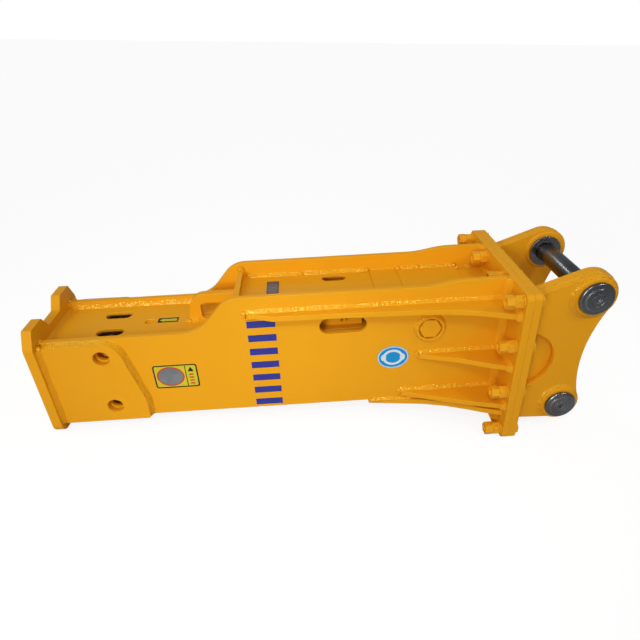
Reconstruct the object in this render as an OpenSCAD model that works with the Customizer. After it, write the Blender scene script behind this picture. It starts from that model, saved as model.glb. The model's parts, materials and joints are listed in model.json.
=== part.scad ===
// Box-type hydraulic breaker hammer, lying on its back, without its tool.
// +X runs from the tool end to the bracket end, +Y across the housing, +Z up.
// The origin is the centre of the underside of the bounding box.

/* [Housing] */
// Length from the inner face of the tool end plate to the housing flange
shell_len = 1600; // [1580:5:1640]
// Width over the two side plates
shell_w = 300; // [296:2:310]
// Height of the side plates at the tool end
tool_h = 340; // [336:1:346]
// Height of the side plates along the middle
mid_h = 466; // [462:1:470]
// Height of the side plates at the housing flange
end_h = 484; // [480:1:486]
// Thickness of the side plates
side_t = 20; // [18:1:20]
// Thickness of the tool end plate
end_plate_t = 34; // [30:1:40]
// Width of the tool end plate
end_plate_w = 396; // [386:2:410]
// Distance that the tool end plate reaches below the side plates
end_plate_drop = 28; // [20:1:40]
// Thickness of the cheek plates at the tool end
cheek_t = 24; // [18:1:26]
// Thickness of the front and back walls
wall_t = 12; // [8:1:12]
// Thickness of the side ribs and of the base plate
rib_t = 20; // [16:1:22]

/* [Flanges] */
// Thickness of each of the two bolted flanges
flange_t = 25; // [22:1:30]
// Width of the flanges
flange_w = 580; // [576:2:600]
// Height of the flanges
flange_h = 596; // [592:2:610]
// Distance that the flanges reach below the side plates
flange_drop = 110; // [108:1:116]
// Distance across the flats of the flange nuts and bolt heads
nut_af = 41; // [36:1:42]
// Diameter of the flange bolts
bolt_d = 27; // [24:1:27]

/* [Top bracket] */
// Distance between the inner faces of the two ears
ear_gap = 332; // [328:2:340]
// Thickness of each ear plate
ear_t = 30; // [28:1:32]
// Thickness of the doubler on the outside of each ear
doubler_t = 24; // [20:1:26]
// Diameter of the two bracket pins
pin_d = 70; // [64:1:72]
// Radial running clearance of a pin in its bushes
pin_clearance = 0.05; // [0.02:0.01:0.1]
// Radius of the ear around the upper pin
ear_r = 83; // [81:1:86]

/* [Power cell] */
// Diameter of the tool bore in the bushings
tool_bore_d = 121; // [118:1:122]
// Diameter of the piston's working land
piston_d = 120; // [116:1:121]
// Stroke of the piston
piston_stroke = 100; // [80:5:105]
// Travel of the valve spool
spool_travel = 20; // [10:1:22]

/* [Hidden] */
$fn = 64;

LEFT = -1;
RIGHT = 1;
SIDES = [LEFT, RIGHT];
gap = 0.5;

// Colours
paint = "#e0a01c";
bright_steel = "#9a9da0";
dark_steel = "#3c4043";
cast = "#6d7073";
urethane = "#b8352a";
brass = "#b59a4c";
black_rubber = "#1c1c1e";

// Stations along the hammer, from the inner face of the tool end plate
flange_x = shell_len;
bracket_x = flange_x + flange_t;
ear_x = bracket_x + flange_t;
step_x = 664;
cover_x0 = 1160;
cover_x1 = 1265;
window_x = 1036;
plug_x = 1338;
cheek_hole_x = 201;
grease_x = 336;

// Heights above the lower edge of the side plates
axis_z = tool_h / 2;
lower_wall_z = 312;
upper_wall_z = 406;
flange_mid_z = flange_h / 2 - flange_drop;
window_z = 335;
plug_z = 308;
inner_w = shell_w - 2 * side_t;

// Top bracket
upper_pin_at = [ear_x + 204, 432];
lower_pin_at = [ear_x + 172, -7];
lower_ear_r = 76;
ear_slope = 20;
ear_in = ear_gap / 2;
doubler_in = ear_in + ear_t;
doubler_out = doubler_in + doubler_t;
bush_bore_r = pin_d / 2 + pin_clearance;
bush_r = 47;
collar_r = 60;
collar_in = ear_in - 14;
inner_boss_t = 5;
outer_boss_t = 6;
doubler_inset = 4;
boss_at = [[upper_pin_at, 74, 68], [lower_pin_at, 70, 65]];
inner_boss_r = 70;
upper_cap_r = 59;
lower_cap_r = 56;
cap_t = 12;
cap_in = doubler_out + 2 * outer_boss_t + gap;
cap_out = cap_in + cap_t;
pin_half_len = cap_in;
screw_r = 12;
screw_head_r = 20;
screw_head_t = 10;
screw_depth = 60;

// Flange bolts: the outer columns have four bolts and the inner columns two
bolt_y = [260, 87];
bolt_z = [266, 96];
bolt_sites = [for (s = SIDES) for (t = SIDES) each [
    [s * bolt_y[0], flange_mid_z + t * bolt_z[0]],
    [s * bolt_y[0], flange_mid_z + t * bolt_z[1]],
    [s * bolt_y[1], flange_mid_z + t * bolt_z[0]]
]];
bolt_hole_r = bolt_d / 2 + 1;
washer_r = 25;
washer_t = 5;
nut_t = 26;
bolt_head_t = 12;
bolt_recess = 6;
nut_gap = 0.4;

// Power cell stations and sections
cell_half_w = 118;
cell_half_h = 128;
cell_cut = 14;
head_x0 = 12;
head_x1 = 520;
cyl_x1 = 1200;
back_x1 = 1530;
back_top = 350;
through_bolt_r = 17;
through_bolt_y = 96;
through_bolt_z = 104;
through_bolt_x0 = 400;
through_nut_t = 30;
through_nut_af = 50;
bushing_r = 88;
bushing_x0 = 14;
bushing_x1 = 254;
bushing_pin_r = 20;
bushing_pin_z = 104;
tool_pin_r = 21;
tool_pin_x = 330;
tool_pin_y = 71;
tool_pin_cover = 40;
thrust_x0 = 410;
thrust_r = 76;
piston_r = piston_d / 2;
fit = 0.05;
rod_r = 52;
tail_r = 45;
carrier_x0 = 1090;
carrier_r = 78;
guide_x0 = 560;
guide_x1 = 640;
seal_w = 8;
seal_depth = 6;
guide_seals = [guide_x0 + 20, guide_x0 + 48];
carrier_seals = [carrier_x0 + 30, carrier_x0 + 60];
gas_chamber_r = 62;
gas_chamber_len = 180;
valve_x0 = 800;
valve_x1 = 1110;
valve_half_w = 80;
valve_top = 386;
spool_z = 346;
spool_r = 18;
spool_x0 = 824;
spool_len = 120;
valve_screw_sites = [for (x = [valve_x0 + 22, valve_x1 - 22]) for (s = SIDES) [x, s * (valve_half_w - 20)]];
valve_screw_r = 8;
adapter_out = 112;
port_r = 7;
port_depth = 24;
adapter_r = 11;
adapter_hex_r = 16;

// The bounding box's centre in the hammer's own stations
mid_x = (upper_pin_at[0] + ear_r - end_plate_t) / 2;

function unit(v) = v / norm(v);
function flat(p) = [p[0], p[1]];

// Points of one polygon corner b, rounded to the radius r between its neighbours a and c
function corner(a, b, c, r, n) = r <= 0 ? [b] :
    let (u = unit(a - b), v = unit(c - b), half = acos(u * v) / 2)
    let (o = b + unit(u + v) * r / sin(half), p = b + u * r / tan(half) - o, q = b + v * r / tan(half) - o)
    let (start = atan2(p[1], p[0]), turn = atan2(q[1], q[0]) - start)
    let (sweep = turn > 180 ? turn - 360 : turn < -180 ? turn + 360 : turn)
    [for (i = [0 : n]) o + r * [cos(start + sweep * i / n), sin(start + sweep * i / n)]];

// A polygon whose corners are [x, y, radius]
function rounded(pts, n = 8) = [for (i = [0 : len(pts) - 1]) let (m = len(pts))
    each corner(flat(pts[(i + m - 1) % m]), flat(pts[i]), flat(pts[(i + 1) % m]), pts[i][2], n)];

function arc(centre, r, from, to, n = 24) =
    [for (i = [0 : n]) let (a = from + (to - from) * i / n) centre + r * [cos(a), sin(a)]];
function bearing(from, to) = atan2(to[1] - from[1], to[0] - from[0]);
function mirrored(pts) = let (n = len(pts) - 1)
    concat(pts, [for (i = [n : -1 : 0]) [-pts[i][0], pts[i][1], pts[i][2]]]);

// Moves the hammer's own stations to the frame of the part
module place() {
    translate([-mid_x, 0, flange_drop]) children();
}

// A plate upright along the hammer, from y0 to y0 + t
module long_plate(pts, y0, t) {
    translate([0, y0 + t, 0]) rotate([90, 0, 0]) linear_extrude(t) polygon(pts);
}

// A plate across the hammer, from x0 to x0 + t
module cross_plate(pts, x0, t) {
    translate([x0, 0, 0]) rotate([90, 0, 90]) linear_extrude(t) polygon(pts);
}

// A plate lying flat, from z0 to z0 + t
module flat_plate(pts, z0, t) {
    translate([0, 0, z0]) linear_extrude(t) polygon(pts);
}

// Cylinders along X, Y and Z between two ends
module rod_x(x0, x1, y, z, r) {
    translate([x0, y, z]) rotate([0, 90, 0]) cylinder(h = x1 - x0, r = r);
}
module rod_y(y0, y1, x, z, r) {
    translate([x, y1, z]) rotate([90, 0, 0]) cylinder(h = y1 - y0, r = r);
}
module rod_z(z0, z1, x, y, r) {
    translate([x, y, z0]) cylinder(h = z1 - z0, r = r);
}

// A hexagonal prism along X, given by its distance across the flats
module hex_x(x0, x1, y, z, af, turn = 0) {
    translate([x0, y, z]) rotate([0, 90, 0]) rotate([0, 0, turn])
        cylinder(h = x1 - x0, r = af / sqrt(3), $fn = 6);
}

module block(x0, x1, y0, y1, z0, z1) {
    translate([x0, y0, z0]) cube([x1 - x0, y1 - y0, z1 - z0]);
}

// A slot with round ends: a cutter along Z or along Y, centred at x
module slot_z(z0, z1, x, y, len, w) {
    reach = (len - w) / 2;
    block(x - reach, x + reach, y - w / 2, y + w / 2, z0, z1);
    for (s = SIDES) rod_z(z0, z1, x + s * reach, y, w / 2);
}
module slot_y(y0, y1, x, z, len, w) {
    reach = (len - w) / 2;
    block(x - reach, x + reach, y0, y1, z - w / 2, z + w / 2);
    for (s = SIDES) rod_y(y0, y1, x + s * reach, z, w / 2);
}

// ---------------------------------------------------------------- housing

step_turn = 50;
step_low_x = 540;
step_high_x = step_low_x + (mid_h - tool_h) / tan(step_turn);
rise_x0 = 1345;
rise_x1 = 1430;
rise_r = 400;
step_high_r = 98;
step_low_r = 130;
end_corner_r = 14;
side_outline = rounded([
    [0, 0, 0], [shell_len, 0, 0], [shell_len, end_h, end_corner_r], [rise_x1, end_h, rise_r],
    [rise_x0, mid_h, rise_r], [step_high_x, mid_h, step_high_r], [step_low_x, tool_h, step_low_r],
    [0, tool_h, 0]
], 14);
window_len = 164;
window_w = 60;
plug_hole_r = 36;
cheek_hole_r = 22;

module side_plate(s) {
    y0 = s > 0 ? shell_w / 2 - side_t : -shell_w / 2;
    place() color(paint) difference() {
        long_plate(side_outline, y0, side_t);
        slot_y(y0 - 1, y0 + side_t + 1, window_x, window_z, window_len, window_w);
        rod_y(y0 - 1, y0 + side_t + 1, plug_x, plug_z, plug_hole_r);
        for (t = SIDES)
            rod_y(y0 - 1, y0 + side_t + 1, cheek_hole_x, axis_z + t * bushing_pin_z, cheek_hole_r);
    }
}
module side_plate_left() { side_plate(LEFT); }
module side_plate_right() { side_plate(RIGHT); }

// The plate around the tool: two horns stand above the side plates with a notch between them
horn_top = 398;
horn_bend = 340;
horn_out = 165;
horn_in = 84;
notch_half = 50;
notch_z = 352;
tool_opening_r = 82;
foot_corner_r = 40;
bend_corner_r = 30;
horn_corner_r = 9;
module tool_end_plate() {
    half = end_plate_w / 2;
    outline = rounded(mirrored([
        [half, -end_plate_drop, foot_corner_r], [half, horn_bend, bend_corner_r],
        [horn_out, horn_top, horn_corner_r], [horn_in, horn_top, horn_corner_r],
        [notch_half, notch_z, horn_corner_r]
    ]));
    place() color(paint) difference() {
        cross_plate(outline, -end_plate_t, end_plate_t);
        rod_x(-end_plate_t - 1, 1, 0, axis_z, tool_opening_r);
    }
}

// Doubler at the tool end, with a stepped hole above and below the tool's axis
cheek_x0 = 6;
cheek_x1 = 316;
cheek_top = tool_h - 10;
cheek_top_x1 = 256;
cheek_bend_z = 86;
cheek_outline = rounded([
    [cheek_x0, 0, 0], [cheek_x1, 0, 8], [cheek_x1, cheek_bend_z, 40], [cheek_top_x1, cheek_top, 70],
    [cheek_x0, cheek_top, 0]
], 12);
counterbore_r = 28;
module cheek_plate(s) {
    y0 = s > 0 ? shell_w / 2 : -shell_w / 2 - cheek_t;
    place() color(paint) difference() {
        long_plate(cheek_outline, y0, cheek_t);
        for (t = SIDES)
            rod_y(y0 - 1, y0 + cheek_t + 1, cheek_hole_x, axis_z + t * bushing_pin_z, counterbore_r);
    }
}
module cheek_plate_left() { cheek_plate(LEFT); }
module cheek_plate_right() { cheek_plate(RIGHT); }

// Recessed wall over the front head, with two long slots and the grease hole
grease_hole_r = 18;
wall_slot_x = 207;
wall_slot_y = 60;
wall_slot_len = 97;
wall_slot_w = 46;
module lower_front_wall() {
    z0 = lower_wall_z - wall_t;
    place() color(paint) difference() {
        block(0, step_x, -inner_w / 2, inner_w / 2, z0, lower_wall_z);
        for (s = SIDES)
            slot_z(z0 - 1, lower_wall_z + 1, wall_slot_x, s * wall_slot_y, wall_slot_len, wall_slot_w);
        rod_z(z0 - 1, lower_wall_z + 1, grease_x, 0, grease_hole_r);
    }
}

// Recessed wall over the cylinder, interrupted by the service cover and lower towards the flange
end_wall_x = 1492;
end_wall_drop = 7;
upper_slot_x = 1022;
upper_slot_y = 83;
upper_slot_len = 90;
upper_slot_w = 48;
module upper_front_wall() {
    z0 = upper_wall_z - wall_t;
    place() color(paint) {
        difference() {
            block(step_x + rib_t, cover_x0, -inner_w / 2, inner_w / 2, z0, upper_wall_z);
            for (s = SIDES)
                slot_z(z0 - 1, upper_wall_z + 1, upper_slot_x, s * upper_slot_y, upper_slot_len,
                    upper_slot_w);
        }
        block(cover_x1, end_wall_x, -inner_w / 2, inner_w / 2, z0, upper_wall_z);
        block(end_wall_x, shell_len, -inner_w / 2, inner_w / 2, z0 - end_wall_drop,
            upper_wall_z - end_wall_drop);
    }
}

cover_gap = 2;
module service_cover() {
    place() color(paint)
        block(cover_x0 + cover_gap, cover_x1 - cover_gap, gap - inner_w / 2, inner_w / 2 - gap,
            upper_wall_z - wall_t, upper_wall_z + 1);
}

// Cross wall that closes the step between the lower and the upper recess
step_wall_top = 440;
module step_wall() {
    place() color(paint)
        block(step_x, step_x + rib_t, -inner_w / 2, inner_w / 2, lower_wall_z - wall_t, step_wall_top);
}

// Lifting lug: a plate along the middle of the lower recess with a long eye
lug_t = 28;
lug_x0 = 484;
lug_top = 418;
lug_lean = 18;
lug_shoulder_r = 55;
lug_eye_x = [532, 636];
lug_eye_z = [318, 381];
lug_eye_corner = 16;
module lifting_lug() {
    outline = rounded([
        [lug_x0, lower_wall_z, 0], [step_x, lower_wall_z, 0], [step_x, lug_top, 0],
        [lug_x0 + lug_lean, lug_top, lug_shoulder_r]
    ], 12);
    eye = rounded([for (p = [[0, 0], [1, 0], [1, 1], [0, 1]])
        [lug_eye_x[p[0]], lug_eye_z[p[1]], lug_eye_corner]]);
    place() color(paint) difference() {
        long_plate(outline, -lug_t / 2, lug_t);
        long_plate(eye, -lug_t / 2 - 1, lug_t + 2);
    }
}

// Wall under the power cell, with the two holes that the tool pins are driven in through
back_wall_z = 8;
module back_wall() {
    place() color(paint) difference() {
        block(0, shell_len, -inner_w / 2, inner_w / 2, back_wall_z, back_wall_z + wall_t);
        for (s = SIDES)
            rod_z(back_wall_z - 1, back_wall_z + wall_t + 1, tool_pin_x, s * tool_pin_y, tool_pin_r + 4);
    }
}

// Outline of one rib, or of half the base plate: from the shell out to the flange
base_x0 = 1128;
base_edge = [[base_x0, 146], [1329, 172], [1410, 192], [1480, 217], [1540, 242], [flange_x, 262]];
module base_plate() {
    place() color(paint)
        flat_plate(concat([for (p = base_edge) [p[0], -p[1]]],
            [for (i = [len(base_edge) - 1 : -1 : 0]) base_edge[i]]), -rib_t, rib_t);
}

// Webs between the base plate and the lower part of the housing flange
gusset_y = [208, 140];
gusset_t = 16;
gusset_x0 = 1555;
gusset_foot = 8;
gusset_bottom = -100;
module base_gussets() {
    outline = [
        [gusset_x0, -rib_t], [flange_x, -rib_t], [flange_x, gusset_bottom],
        [flange_x - gusset_foot, gusset_bottom]
    ];
    place() color(paint) for (s = SIDES) for (y = gusset_y)
        long_plate(outline, s > 0 ? y : -y - gusset_t, gusset_t);
}

// Side ribs: the upper rib starts behind the step and the others near the flange
upper_rib_z = 388;
middle_rib_z = 183;
lower_rib_z = 18;
upper_rib_x0 = 704;
middle_rib_x0 = 1300;
lower_rib_x0 = 1242;
upper_rib_edge = [
    [800, 185], [1040, 190], [1285, 200], [1390, 210], [1470, 226], [1535, 247], [flange_x, 269]
];
middle_rib_edge = [[1310, 162], [1436, 200], [1519, 236], [flange_x, 268]];
lower_rib_edge = [[1250, 160], [1354, 197], [1474, 238], [flange_x, 272]];
module ribs(z0, x0, edge) {
    base = shell_w / 2;
    pts = concat([[x0, base]], edge, [[flange_x, base]]);
    place() color(paint) for (s = SIDES) flat_plate([for (p = pts) [p[0], s * p[1]]], z0, rib_t);
}
module upper_ribs() { ribs(upper_rib_z, upper_rib_x0, upper_rib_edge); }
module middle_ribs() { ribs(middle_rib_z, middle_rib_x0, middle_rib_edge); }
module lower_ribs() { ribs(lower_rib_z, lower_rib_x0, lower_rib_edge); }

// Both flanges share one outline and one bolt pattern
flange_corner_r = 22;
flange_outline = rounded([
    [-flange_w / 2, -flange_drop, flange_corner_r], [flange_w / 2, -flange_drop, flange_corner_r],
    [flange_w / 2, flange_h - flange_drop, flange_corner_r],
    [-flange_w / 2, flange_h - flange_drop, flange_corner_r]
]);
module flange(x0) {
    difference() {
        cross_plate(flange_outline, x0, flange_t);
        for (p = bolt_sites) rod_x(x0 - 1, x0 + flange_t + 1, p[0], p[1], bolt_hole_r);
    }
}
module housing_flange() {
    place() color(paint) difference() {
        flange(flange_x);
        block(flange_x - 1, bracket_x + 1, 4 - inner_w / 2, inner_w / 2 - 4, back_wall_z + wall_t,
            upper_wall_z - wall_t);
    }
}

// Welded ring around each side plug, and the hexagonal plug screwed into it
plug_ring_r = 49;
plug_ring_t = 14;
plug_af = 68;
module plug_rings() {
    base = shell_w / 2;
    place() color(paint) for (s = SIDES) {
        y0 = s > 0 ? base : -base - plug_ring_t;
        difference() {
            rod_y(y0, y0 + plug_ring_t, plug_x, plug_z, plug_ring_r);
            rod_y(y0 - 1, y0 + plug_ring_t + 1, plug_x, plug_z, plug_af / sqrt(3) + 2);
        }
    }
}
module side_plugs() {
    base = shell_w / 2;
    place() color(paint) for (s = SIDES) {
        translate([plug_x, s * base, plug_z]) rotate([-s * 90, 0, 0]) {
            cylinder(h = plug_ring_t - 3, r = plug_af / sqrt(3), $fn = 6);
            translate([0, 0, -side_t]) cylinder(h = side_t, r = plug_hole_r);
        }
    }
}

// ---------------------------------------------------------------- top bracket

module bracket_flange() {
    place() color(paint) flange(bracket_x);
}

// Outline of an ear, set in by inset: an arc around each pin and a hollow arc between them
hollow_x = 1870;
hollow_r = 476;
hollow_at = [hollow_x + hollow_r, 166.6];
function ear_outline(inset) = let (
    up = bearing(upper_pin_at, hollow_at), low = bearing(lower_pin_at, hollow_at),
    r_up = ear_r - inset, r_low = lower_ear_r - inset, top = 90 + ear_slope,
    tip = upper_pin_at + r_up * [cos(top), sin(top)])
    concat(
        [[ear_x, tip[1] - (tip[0] - ear_x) * tan(ear_slope)]],
        [[ear_x, lower_pin_at[1] - r_low + 8]],
        arc(lower_pin_at, r_low, -90, low),
        arc(hollow_at, hollow_r + inset, low + 180, up + 180),
        arc(upper_pin_at, r_up, up, top));

// A bore along Y through the ears at each pin
module pin_bores(y0, y1, r) {
    for (p = [upper_pin_at, lower_pin_at]) rod_y(y0, y1, p[0], p[1], r);
}

module ear(s) {
    y0 = s > 0 ? ear_in : -doubler_in;
    place() color(paint) difference() {
        long_plate(ear_outline(0), y0, ear_t);
        pin_bores(y0 - 1, y0 + ear_t + 1, bush_r);
    }
}
module ear_left() { ear(LEFT); }
module ear_right() { ear(RIGHT); }

half_moon_r = 118;
module ear_doublers() {
    place() color(paint) for (s = SIDES) {
        y0 = s > 0 ? doubler_in : -doubler_out;
        difference() {
            long_plate(ear_outline(doubler_inset), y0, doubler_t);
            pin_bores(y0 - 1, y0 + doubler_t + 1, bush_r);
            rod_y(y0 - 1, y0 + doubler_t + 1, ear_x - 2, flange_mid_z, half_moon_r);
        }
    }
}

// Welded rings around each bore: two steps outside the ear and one inside
module ear_bosses() {
    place() color(paint) for (s = SIDES) for (b = boss_at) {
        translate([b[0][0], 0, b[0][1]]) rotate([-s * 90, 0, 0]) {
            difference() {
                union() {
                    translate([0, 0, doubler_out]) cylinder(h = outer_boss_t, r = b[1]);
                    translate([0, 0, doubler_out]) cylinder(h = 2 * outer_boss_t, r = b[2]);
                }
                translate([0, 0, doubler_out - 1]) cylinder(h = 2 * outer_boss_t + 2, r = bush_r);
            }
            difference() {
                translate([0, 0, ear_in - inner_boss_t]) cylinder(h = inner_boss_t, r = inner_boss_r);
                translate([0, 0, ear_in - inner_boss_t - 1]) cylinder(h = inner_boss_t + 2, r = bush_r);
            }
        }
    }
}

// Hardened bush in each ear, with a collar towards the stick
module pin_bushes() {
    bush_out = cap_in - gap;
    place() color(dark_steel) for (s = SIDES) for (p = [upper_pin_at, lower_pin_at]) {
        translate([p[0], 0, p[1]]) rotate([-s * 90, 0, 0]) difference() {
            union() {
                translate([0, 0, collar_in]) cylinder(h = bush_out - collar_in, r = bush_r);
                translate([0, 0, collar_in]) cylinder(h = ear_in - inner_boss_t - collar_in, r = collar_r);
            }
            translate([0, 0, collar_in - 1]) cylinder(h = bush_out - collar_in + 2, r = bush_bore_r);
        }
    }
}

// Each pin has a cap on both ends, held by a socket head screw
module bracket_pin(p) {
    place() color(dark_steel) difference() {
        rod_y(-pin_half_len, pin_half_len, p[0], p[1], pin_d / 2);
        for (s = SIDES)
            translate([p[0], s * pin_half_len, p[1]]) rotate([s * 90, 0, 0]) {
                translate([0, 0, -1]) cylinder(h = screw_depth + 1, r = screw_r);
            }
    }
}
module upper_pin() { bracket_pin(upper_pin_at); }
module lower_pin() { bracket_pin(lower_pin_at); }

cap_hub_r = 40;
cap_hub_t = 4;
cap_bevel = 5;
module pin_caps(p, r) {
    place() color(dark_steel) for (s = SIDES)
        translate([p[0], 0, p[1]]) rotate([-s * 90, 0, 0]) rotate_extrude() polygon([
            [screw_r, cap_in], [r, cap_in], [r, cap_out - cap_bevel], [r - cap_bevel, cap_out],
            [cap_hub_r, cap_out], [cap_hub_r, cap_out + cap_hub_t], [screw_head_r + 1, cap_out + cap_hub_t],
            [screw_head_r + 1, cap_out + cap_hub_t - screw_head_t],
            [screw_r, cap_out + cap_hub_t - screw_head_t]
        ]);
}
module upper_pin_caps() { pin_caps(upper_pin_at, upper_cap_r); }
module lower_pin_caps() { pin_caps(lower_pin_at, lower_cap_r); }

socket_af = 19;
module pin_screws(p) {
    head_in = cap_out + cap_hub_t - screw_head_t;
    head_out = head_in + screw_head_t - 1;
    place() color(dark_steel) for (s = SIDES)
        translate([p[0], 0, p[1]]) rotate([-s * 90, 0, 0]) difference() {
            union() {
                translate([0, 0, pin_half_len - screw_depth + 2])
                    cylinder(h = head_in - pin_half_len + screw_depth - 2, r = screw_r);
                translate([0, 0, head_in]) cylinder(h = head_out - head_in, r = screw_head_r);
            }
            translate([0, 0, head_out - 7]) cylinder(h = 8, r = socket_af / sqrt(3), $fn = 6);
        }
}
module upper_pin_screws() { pin_screws(upper_pin_at); }
module lower_pin_screws() { pin_screws(lower_pin_at); }

// ---------------------------------------------------------------- flange fasteners

nut_x1 = flange_x - washer_t;
nut_x0 = nut_x1 - nut_t;
locknut_x1 = nut_x0 - nut_gap;
locknut_x0 = locknut_x1 - nut_t;
module flange_bolts() {
    place() color(paint) for (p = bolt_sites) {
        rod_x(locknut_x0 + bolt_recess, ear_x, p[0], p[1], bolt_d / 2);
        hex_x(ear_x, ear_x + bolt_head_t, p[0], p[1], nut_af);
    }
}
module flange_nuts() {
    place() color(paint) for (p = bolt_sites) {
        difference() {
            hex_x(nut_x0, nut_x1, p[0], p[1], nut_af);
            rod_x(nut_x0 - 1, nut_x1 + 1, p[0], p[1], bolt_d / 2);
        }
        difference() {
            hex_x(locknut_x0, locknut_x1, p[0], p[1], nut_af, 30);
            rod_x(locknut_x0 - 1, locknut_x1 + 1, p[0], p[1], bolt_d / 2);
        }
    }
}
module flange_washers() {
    place() color(paint) for (p = bolt_sites) difference() {
        rod_x(nut_x1, flange_x, p[0], p[1], washer_r);
        rod_x(nut_x1 - 1, flange_x + 1, p[0], p[1], bolt_d / 2 + gap);
    }
}

// ---------------------------------------------------------------- power cell

// Section of the power cell blocks, with the corners cut off
function cell_section(bottom, top) = let (w = cell_half_w, c = cell_cut) [
    [c - w, bottom], [w - c, bottom], [w, bottom + c], [w, top - c],
    [w - c, top], [c - w, top], [-w, top - c], [-w, bottom + c]
];
cell_bottom = axis_z - cell_half_h;
cell_top = axis_z + cell_half_h;
through_bolt_sites = [for (s = SIDES) for (t = SIDES) [s * through_bolt_y, axis_z + t * through_bolt_z]];

// The head has a pocket under each long slot of the wall, down to the upper bushing pin
pocket_depth = 36;
module front_head() {
    place() color(cast) difference() {
        cross_plate(cell_section(cell_bottom, cell_top), head_x0, head_x1 - head_x0);
        rod_x(head_x0 - 1, bushing_x1, 0, axis_z, bushing_r);
        rod_x(bushing_x1 - 1, thrust_x0, 0, axis_z, tool_bore_d / 2 + 4);
        rod_x(thrust_x0 - 1, head_x1 + 1, 0, axis_z, thrust_r);
        for (t = SIDES)
            rod_y(-cell_half_w - 1, cell_half_w + 1, cheek_hole_x, axis_z + t * bushing_pin_z,
                bushing_pin_r);
        for (s = SIDES)
            rod_z(cell_bottom - 1, cell_top - tool_pin_cover, tool_pin_x, s * tool_pin_y, tool_pin_r);
        for (p = through_bolt_sites) rod_x(through_bolt_x0, head_x1 + 1, p[0], p[1], through_bolt_r);
        rod_z(axis_z + tool_bore_d / 2, cell_top + 1, grease_x, 0, 5);
        for (s = SIDES)
            slot_z(cell_top - pocket_depth, cell_top + 1, wall_slot_x, s * wall_slot_y,
                wall_slot_len + 12, wall_slot_w + 12);
    }
}

module lower_bushing() {
    place() color(bright_steel) difference() {
        rod_x(bushing_x0, bushing_x1, 0, axis_z, bushing_r);
        rod_x(bushing_x0 - 1, bushing_x1 + 1, 0, axis_z, tool_bore_d / 2);
        for (t = SIDES)
            rod_y(-cell_half_w, cell_half_w, cheek_hole_x, axis_z + t * bushing_pin_z, bushing_pin_r + gap);
    }
}

module bushing_pins() {
    place() color(bright_steel) for (t = SIDES)
        rod_y(-cell_half_w + 2, cell_half_w - 2, cheek_hole_x, axis_z + t * bushing_pin_z, bushing_pin_r);
}

module tool_pins() {
    place() color(bright_steel) for (s = SIDES)
        rod_z(cell_bottom + 2, cell_top - tool_pin_cover, tool_pin_x, s * tool_pin_y, tool_pin_r);
}

module thrust_ring() {
    place() color(bright_steel) difference() {
        rod_x(thrust_x0, head_x1, 0, axis_z, thrust_r);
        rod_x(thrust_x0 - 1, head_x1 + 1, 0, axis_z, tool_bore_d / 2);
    }
}

// The piston's front rod runs in the cylinder's guide and its tail in the seal carrier
module cylinder_body() {
    place() color(cast) difference() {
        cross_plate(cell_section(cell_bottom, cell_top), head_x1, cyl_x1 - head_x1);
        rod_x(head_x1 - 1, guide_x0, 0, axis_z, rod_r + 8);
        rod_x(guide_x0 - 1, guide_x1, 0, axis_z, rod_r);
        rod_x(guide_x1 - 1, carrier_x0, 0, axis_z, piston_r);
        rod_x(carrier_x0 - 1, cyl_x1 + 1, 0, axis_z, carrier_r);
        for (x = guide_seals) rod_x(x, x + seal_w, 0, axis_z, rod_r + seal_depth);
        for (p = through_bolt_sites) rod_x(head_x1 - 1, cyl_x1 + 1, p[0], p[1], through_bolt_r + gap);
    }
}

piston_x0 = 470;
land_x0 = 760;
land_x1 = carrier_x0 - piston_stroke - 70;
land_len = 60;
waist_depth = 8;
rod_bevel = 6;
tail_x1 = 1230;
module piston() {
    place() color(bright_steel) {
        translate([0, 0, axis_z]) rotate([0, 90, 0]) rotate_extrude() polygon([
            [0, piston_x0], [rod_r - fit - rod_bevel, piston_x0], [rod_r - fit, piston_x0 + rod_bevel],
            [rod_r - fit, land_x0], [piston_r - fit, land_x0], [piston_r - fit, land_x0 + land_len],
            [piston_r - waist_depth, land_x0 + land_len], [piston_r - waist_depth, land_x1 - land_len],
            [piston_r - fit, land_x1 - land_len], [piston_r - fit, land_x1],
            [tail_r - fit, land_x1], [tail_r - fit, tail_x1], [0, tail_x1]
        ]);
    }
}

module seal_carrier() {
    place() color(bright_steel) difference() {
        rod_x(carrier_x0, cyl_x1, 0, axis_z, carrier_r);
        rod_x(carrier_x0 - 1, cyl_x1 + 1, 0, axis_z, tail_r);
        for (x = carrier_seals) rod_x(x, x + seal_w, 0, axis_z, tail_r + seal_depth);
    }
}

module seal_ring(x, r) {
    difference() {
        rod_x(x + gap / 2, x + seal_w - gap / 2, 0, axis_z, r + seal_depth);
        rod_x(x, x + seal_w, 0, axis_z, r + fit);
    }
}
module piston_seals() {
    place() color(black_rubber) {
        for (x = guide_seals) seal_ring(x, rod_r);
        for (x = carrier_seals) seal_ring(x, tail_r);
    }
}

// The back head holds the gas chamber behind the piston's tail
gas_valve_r = 14;
gas_valve_depth = 30;
gas_bore_r = 4;
module back_head() {
    place() color(cast) difference() {
        cross_plate(cell_section(cell_bottom, back_top), cyl_x1, back_x1 - cyl_x1);
        rod_x(cyl_x1 - 1, cyl_x1 + gas_chamber_len, 0, axis_z, gas_chamber_r);
        for (p = through_bolt_sites) rod_x(cyl_x1 - 1, back_x1 + 1, p[0], p[1], through_bolt_r + gap);
        rod_y(-cell_half_w - 1, gas_valve_depth - cell_half_w, plug_x, plug_z, gas_valve_r);
        rod_y(gas_valve_depth - cell_half_w - 1, 0, plug_x, plug_z, gas_bore_r);
        rod_z(axis_z, plug_z, plug_x, 0, gas_bore_r);
    }
}

module gas_valve() {
    place() color(brass) {
        rod_y(-cell_half_w, gas_valve_depth - cell_half_w, plug_x, plug_z, gas_valve_r);
        translate([plug_x, -cell_half_w, plug_z]) rotate([90, 0, 0]) cylinder(h = 8, r = 19, $fn = 6);
    }
}

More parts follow.
